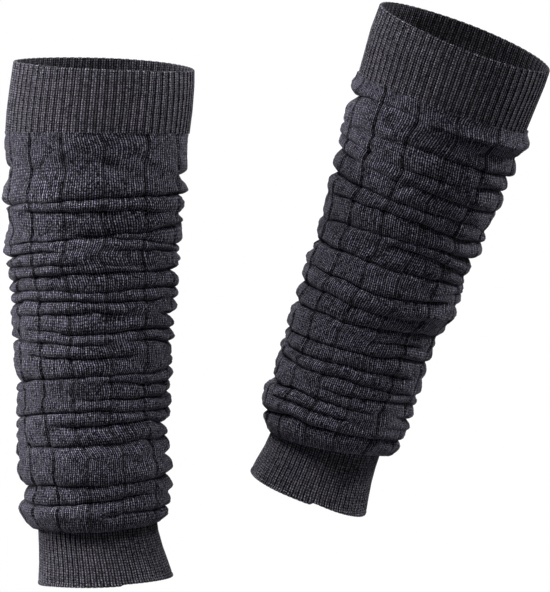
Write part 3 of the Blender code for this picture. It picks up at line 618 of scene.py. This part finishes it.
# bodies: a roll between each crease and the next, crossed by upright grooves
bodyLook = {
    "panels": 13, "grooveDepth": 1.4,   # at the sides
    "frontGroove": 0.75,                # its share at the front
    "grooveWidths": (0.86, 1.28),       # at the front and at the sides, over what the columns give
    "grooveEdge": (0.05, 0.13),         # a groove's edge, and how far out points move with it
    # places of the points across one panel, closest at its grooves
    "columns": (0.0, 0.017, 0.032, 0.055, 0.13, 0.22, 0.31, 0.4, 0.5, 0.6, 0.69, 0.78, 0.87, 0.945,
                0.968, 0.983),
    "profile": ((0.0, 0.0), (0.017, 0.12), (0.032, 0.8), (0.055, 1.0), (0.5, 1.0), (0.945, 1.0),
                (0.968, 0.8), (0.983, 0.12), (1.0, 0.0)),
    "sway": 1.2, "swayWaves": ((4.5, 1.3), (7.5, 1.8), (10.5, 2.3)),    # shift from roll to roll
    "lean": 1.5,                        # and lean within a roll, both in degrees
    "wideFrom": 10.0,                   # where the panels are narrowest
    "reverseGroove": -0.4,              # inside, the wall is a little thinner at each groove, and its relief below 0 has the finish paint the reverse in shade
    "rowSpacing": 0.95, "fewestRows": 9,    # mean mm of drop between two rows of points
    "topLift": 0.2, "seamTuck": 0.15,   # the first row reaches up to the top cuff, a little inside
    "crest": 0.64, "overhang": 5.5,     # where a roll's crest lies, and its most above the crease
    "upperPower": (2.0, 1.6), "lowerPower": (2.4, 2.1),     # how full a roll is above and below it
    "slope": 0.8,                       # a roll's rise over its height, at most
    # creases over those of the tables: everywhere, more to the right, and more at both sides
    "deepen": 1.35, "deepenRight": 0.2, "deepenSides": 0.7, "sidePower": 6,
    "fullDepth": 4.0,                   # a crease this deep slants and hangs in full
    "tuck": 0.9, "tuckMost": 1.2, "tuckPower": 1.5,     # creases slant up behind the roll above
    "droop": 0.8, "ankleDroop": 2.4,    # a roll's nose hangs, and most over the ankle
    "foldWander": 0.6, "foldWaves": (4, 6, 9, 13),      # creases wander up and down
    "dieAway": 2.5,                     # and die away over a few times these degrees
    # rolls are fuller here and there, short creases bow, and small dents cross both
    "bulge": 0.5, "bulgeShare": 0.3, "bulgeWaves": (2, 3, 5, 7), "bulgeSeed": 90,
    "pinch": 0.8, "pinchBow": 0.08,
    "crumple": 0.35, "crumpleWaves": (9, 12, 16, 21, 27, 34), "crumplePitch": (9.0, 24.0),
    "crumpleSeed": 500,
    "lining": 3.9, "liningEnd": 3.3,    # how far in the reverse lies, and at the ankle's seam
    "liningFill": 0.75,                 # and how much it follows the rolls
}


def pinchDepth(leg, look, drop, angle):
    # how far the short creases draw the cloth in
    total = np.zeros_like(drop)
    for fromAngle, fromDrop, toAngle, toDrop, halfWidth, depth in leg["pinches"]:
        x = awayFrom((fromAngle + toAngle) / 2, angle) * tube["degree"]
        y = drop - (fromDrop + toDrop) / 2
        half = np.array([(toAngle - fromAngle) * tube["degree"], toDrop - fromDrop]) / 2
        reach = np.hypot(*half)
        along = (x * half[0] + y * half[1]) / reach**2
        aside = (y * half[0] - x * half[1]) / reach
        bowed = aside + look["pinchBow"] * reach * (1 - along**2)
        taper = np.clip(1.0 - np.abs(along) ** 3, 0.0, 1.0)
        total += depth * taper * np.exp(-(bowed / halfWidth) ** 2)
    return total


def crumpled(leg, look, drop, angle):
    # small soft dents, 10 to 30 mm across, of about 1 either way
    random = np.random.default_rng(leg["seed"] + look["crumpleSeed"])
    total = np.zeros_like(drop)
    for count in look["crumpleWaves"]:
        pitch = random.uniform(*look["crumplePitch"]) * random.choice((-1, 1))
        phase = random.uniform(0.0, 2 * math.pi)
        total += np.sin(np.radians(angle) * count + drop * 2 * math.pi / pitch + phase)
    return total / math.sqrt(len(look["crumpleWaves"]) / 2)


def foldDepth(fold, look, angle):
    # a crease's depth all round, less the stretches over which it dies away
    depth = np.maximum(roundLeg(fold[1], angle), 0.0)
    for start, end in fold[2:]:
        past = np.abs(awayFrom((start + end) / 2, angle)) - (end - start) / 2
        depth = depth * (1.0 - 1.0 / (1.0 + np.exp(past / look["dieAway"])))
    return depth


def toSides(share):
    # 0 at the front and back of the leg and 1 at its sides
    return np.sin(2 * math.pi * share) ** 2


def makeBody(leg, name, look, material):
    panels, seed = look["panels"], leg["seed"]
    share = ((np.arange(panels)[:, None] + np.array(look["columns"])) / panels).ravel()
    panelEnds = np.arange(panels + 1)
    # points move with the width of their groove, and those in mid panel take up the rest
    fromGroove = (share * panels + 0.5) % 1.0 - 0.5
    edge, far = look["grooveEdge"]
    atFront, atSide = (
        np.sign(fromGroove) * np.interp(np.abs(fromGroove), (0.0, edge, far, 0.5),
                                        (0.0, edge * width, far - edge + edge * width, 0.5))
        for width in look["grooveWidths"])
    placed = share + (atFront + toSides(share) * (atSide - atFront) - fromGroove) / panels
    ankleStep = leg["body"][-1][2] - leg["ankleCuff"][0][2]
    lines = ([(leg["topSeam"], (look["seamTuck"],) * 6)] + leg["folds"]
             + [(leg["ankleSeam"], (ankleStep,) * 6)])
    last = len(lines) - 2

    def swayed(level):
        # the grooves shift a little sideways from roll to roll, each on its own
        total = np.zeros_like(share)
        for layer, (pitch, calm) in enumerate(look["swayWaves"]):
            phases = np.random.default_rng(seed * 10 + layer).uniform(0, 2 * math.pi, panels)
            waves = np.sin(level / pitch + np.append(phases, phases[0]))
            total += np.interp(share * panels, panelEnds, waves) / calm
        return look["sway"] * total

    def leaning(index, t):
        # and lean to one side or the other in the middle of each roll
        leans = np.random.default_rng(seed * 100 + index).uniform(-1, 1, panels)
        return look["lean"] * math.sin(math.pi * t) * np.interp(
            share * panels, panelEnds, np.append(leans, leans[0]))

    def ring(index, t, fill, nose=0.0, lining=0.0):
        # one row of points: t from the crease above to the one below, fill from crease to crest
        above, below = lines[index], lines[index + 1]
        isFirst, isLast = index == 0, index == last
        level = np.mean(above[0]) + t * (np.mean(below[0]) - np.mean(above[0]))
        even = downLeg(leg["turns"], level, 1) + 360.0 * placed + swayed(level) + leaning(index, t)
        widened = 1.0 - np.cos(np.radians(even - look["wideFrom"]))
        angle = even + leg["wideSide"] * widened
        toRight = np.sin(np.radians(angle))
        deepen = (look["deepen"] * (1 + look["deepenRight"] * toRight)
                  + look["deepenSides"] * np.abs(toRight) ** look["sidePower"])

        def crease(line, number, isSeam):
            # its drop and depth; a seam stays where the cuff meets it
            if isSeam:
                return roundLeg(line[0], angle), foldDepth(line, look, angle)
            shift = look["foldWander"] * wander(angle, seed + number, look["foldWaves"])
            return roundLeg(line[0], angle) + shift, deepen * foldDepth(line, look, angle)

        high, depthAbove = crease(above, index, isFirst)
        low, depthBelow = crease(below, index + 1, isLast)
        tall = np.maximum(low - high, 1.0)
        depth = depthAbove + t * (depthBelow - depthAbove)
        drop = high + t * tall
        if not lining:
            steep = depth / look["fullDepth"]
            slant = np.clip(steep, 0.0, look["tuckMost"]) * (1.0 - fill) ** look["tuckPower"]
            atSeam = (isFirst and t < 0.5) or (isLast and t > 0.5)
            drop = drop - (0.0 if atSeam else look["tuck"]) * slant
            hang = look["ankleDroop"] if isLast else look["droop"]
            drop = drop + hang * nose * np.clip(steep, 0.0, 1.0)
        waves = wander(angle, seed + look["bulgeSeed"] + index, look["bulgeWaves"])
        inset = (depth - fill * np.minimum(depth, look["slope"] * tall)
                 + look["bulgeShare"] * (look["bulge"] - look["bulge"] * waves * fill)
                 + look["pinch"] * pinchDepth(leg, look, drop, angle)
                 + look["crumple"] * crumpled(leg, look, drop, angle) + lining)
        return legPoints(leg, leg["body"], drop, angle, inset)

    upperT, upperF = look["upperPower"]
    lowerT, lowerF = look["lowerPower"]
    topRow, topOutward = ring(0, 0.0, 0.0)
    outer, inner = [(topRow + look["topLift"] * mm * legAxes(leg)[2], topOutward)], []
    for index, (above, below) in enumerate(zip(lines, lines[1:])):
        meanHeight = float(np.mean(below[0]) - np.mean(above[0]))
        crest = max(look["crest"], 1.0 - look["overhang"] / meanHeight)
        rows = max(int(round(meanHeight / look["rowSpacing"])), look["fewestRows"])
        for turn in 0.5 * math.pi * np.arange(rows // 2) / (rows // 2):
            outer.append(ring(index, crest * (1 - math.cos(turn) ** (2 / upperT)),
                              math.sin(turn) ** (2 / upperF)))
        for turn in 0.5 * math.pi * np.arange(rows - rows // 2) / (rows - rows // 2):
            fill = math.cos(turn) ** (2 / lowerF)
            outer.append(ring(index, crest + (1 - crest) * math.sin(turn) ** (2 / lowerT), fill,
                              nose=math.sin(math.pi * (1 - fill)) ** 2))
        for t in np.arange(max(rows // 3, 3)) / max(rows // 3, 3):
            inner.append(ring(index, t, look["liningFill"] * math.sin(math.pi * t),
                              lining=look["lining"]))
    outer.append(ring(last, 1.0, 0.0))
    inner.append(ring(last, 1.0, 0.0, lining=look["liningEnd"]))

    points = (np.array([row[0] for row in outer]), np.array([row[0][0::2] for row in inner]))
    outwards = (np.array([row[1] for row in outer]), np.array([row[1][0::2] for row in inner]))
    arounds = [np.broadcast_to(row, grid.shape[:2]) for row, grid in zip((share, share[0::2]), points)]
    # down the map, stitches keep their size over the rolls: it follows the cloth's mean length
    coordinates, lengths = [], []
    for grid, around in zip(points, arounds):
        steps = np.linalg.norm(np.diff(grid, axis=0), axis=2).mean(axis=1)
        down = np.concatenate([[0.0], np.cumsum(steps)])
        lengths.append(down[-1])
        coordinates.append(np.stack(
            [around, np.broadcast_to((down / down[-1])[:, None], around.shape)], -1))
    outRelief, inRelief = (look["frontGroove"] + (1 - look["frontGroove"]) * toSides(around)
                           for around in arounds)
    attributes = {"aroundShare": ("FLOAT", arounds),
                  "reliefShare": ("FLOAT", (outRelief, look["reverseGroove"] * inRelief)),
                  "lipShare": ("FLOAT", [np.zeros_like(around) for around in arounds]),
                  "outward": ("FLOAT_VECTOR", outwards)}
    piece = makeWall(name, *points, attributes, coordinates, material)
    applyRelief(piece, reliefTree(name + "Grooves", look["profile"], material), {
        "Repeats": float(panels), "Rise": look["grooveDepth"] * mm})
    print(f"{name}: {len(outer)} rows, {lengths[0]:.3f} m of cloth")
    return piece


def makeLeg(leg):
    side = leg["side"]
    topCuff = makeCuff(leg, side + "TopCuff", leg["topCuff"], leg["rim"], leg["topSeam"],
                       topCuffLook, topRib)
    body = makeBody(leg, side + "Body", bodyLook, bodyKnit)
    ankleCuff = makeCuff(leg, side + "AnkleCuff", leg["ankleCuff"], leg["ankleSeam"], leg["hem"],
                         ankleCuffLook, ankleRib)
    # each piece hangs from the root, and the frame's parts that it replaces are hidden
    declare(topCuff, (side + "_top_cuff",))
    declare(body, leg["bodyNodes"])
    declare(ankleCuff, (side + "_ankle_cuff",))
    print(side, "leg made")


def declare(piece, nodes):
    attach(piece, "root")
    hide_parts(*nodes)


makeLeg(leftLeg)
makeLeg(rightLeg)

# camera, lamps and floor, in metres and watts
studio = {
    "cameraPlace": (0.1163, -3.9, 0.273), "cameraTarget": (0.1163, 0.0, -0.1363),
    "focalPixels": 5767.0, "pictureHeight": 592.0, "sensor": 36.0,  # for a render of 550×592
    "floorPlace": (0.1, 0.0, -0.75), "floorRadius": 2.4,
    "paperColour": "#f2f2f2", "paperGlow": 0.7, "glowColour": "#f4f4f6",
    # each lamp: where it stands, its width and its power
    "lamps": {
        "key": ((-0.8, -1.0, 2.1), 0.45, 0.9),
        "front": ((0.1, -1.5, 1.9), 0.8, 0.5),
        "side": ((-1.9, 0.0, 0.8), 0.6, 1.4),
        "fill": ((1.1, -0.9, 1.8), 0.5, 0.4),
        "farSide": ((1.7, 0.5, 1.0), 0.6, 0.9),
        "back": ((-0.4, 1.7, 1.5), 0.8, 1.2),
    },
    "lampAim": (-0.06, 0.0, -0.14),
    "lampSpread": 24.0,     # degrees: grids on the lamps keep most of their light on the left leg
    "worldLight": 0.06, "worldColour": "#fbfaff",
}


def lookAt(holder, place, target):
    holder.location = place
    holder.rotation_euler = (Vector(target) - Vector(place)).to_track_quat("-Z", "Y").to_euler()
    bpy.context.scene.collection.objects.link(holder)


def makeStudio():
    camera = bpy.data.cameras.new("camera")
    camera.sensor_width = studio["sensor"]
    camera.lens = studio["sensor"] * studio["focalPixels"] / studio["pictureHeight"]
    camera.clip_start, camera.clip_end = 0.1, 100.0
    holder = bpy.data.objects.new("camera", camera)
    lookAt(holder, studio["cameraPlace"], studio["cameraTarget"])
    bpy.context.scene.camera = holder
    bpy.context.scene.view_settings.view_transform = "Standard"

    for name, (place, size, power) in studio["lamps"].items():
        lamp = bpy.data.lights.new(name, "AREA")
        lamp.shape = "DISK"
        lamp.size = size
        lamp.energy = power
        lamp.spread = math.radians(studio["lampSpread"])
        lookAt(bpy.data.objects.new(name, lamp), place, studio["lampAim"])

    bpy.ops.mesh.primitive_circle_add(vertices=96, radius=studio["floorRadius"], fill_type="NGON",
                                      location=studio["floorPlace"])
    floor = bpy.context.object
    floor.name = "floor"
    # plain white paper, matt: it shows no gloss, only soft even light
    paper = bpy.data.materials.new("white studio paper")
    paper.use_nodes = True
    shader = paper.node_tree.nodes["Principled BSDF"]
    shader.inputs["Base Color"].default_value = linear(studio["paperColour"])
    shader.inputs["Roughness"].default_value = 0.9
    # the small lamps leave the paper dim, so it glows a little, seen from the camera alone
    shader.inputs["Emission Color"].default_value = linear(studio["glowColour"])
    direct = addNode(paper.node_tree, "ShaderNodeLightPath").outputs["Is Camera Ray"]
    glow = addNode(paper.node_tree, "ShaderNodeMath", (direct, studio["paperGlow"]),
                   operation="MULTIPLY")
    paper.node_tree.links.new(glow.outputs[0], shader.inputs["Emission Strength"])
    floor.data.materials.append(paper)

    # the pieces get the soft light, and the camera sees white
    world = bpy.data.worlds.new("studio")
    bpy.context.scene.world = world
    world.use_nodes = True
    tree = world.node_tree
    tree.nodes.clear()
    soft = addNode(tree, "ShaderNodeBackground",
                   {"Color": linear(studio["worldColour"]), "Strength": studio["worldLight"]})
    white = addNode(tree, "ShaderNodeBackground", {"Color": linear("#ffffff"), "Strength": 1.0})
    seen = addNode(tree, "ShaderNodeLightPath").outputs["Is Camera Ray"]
    both = addNode(tree, "ShaderNodeMixShader", (seen, soft, white))
    addNode(tree, "ShaderNodeOutputWorld", {"Surface": both})


makeStudio()
print("studio ready")
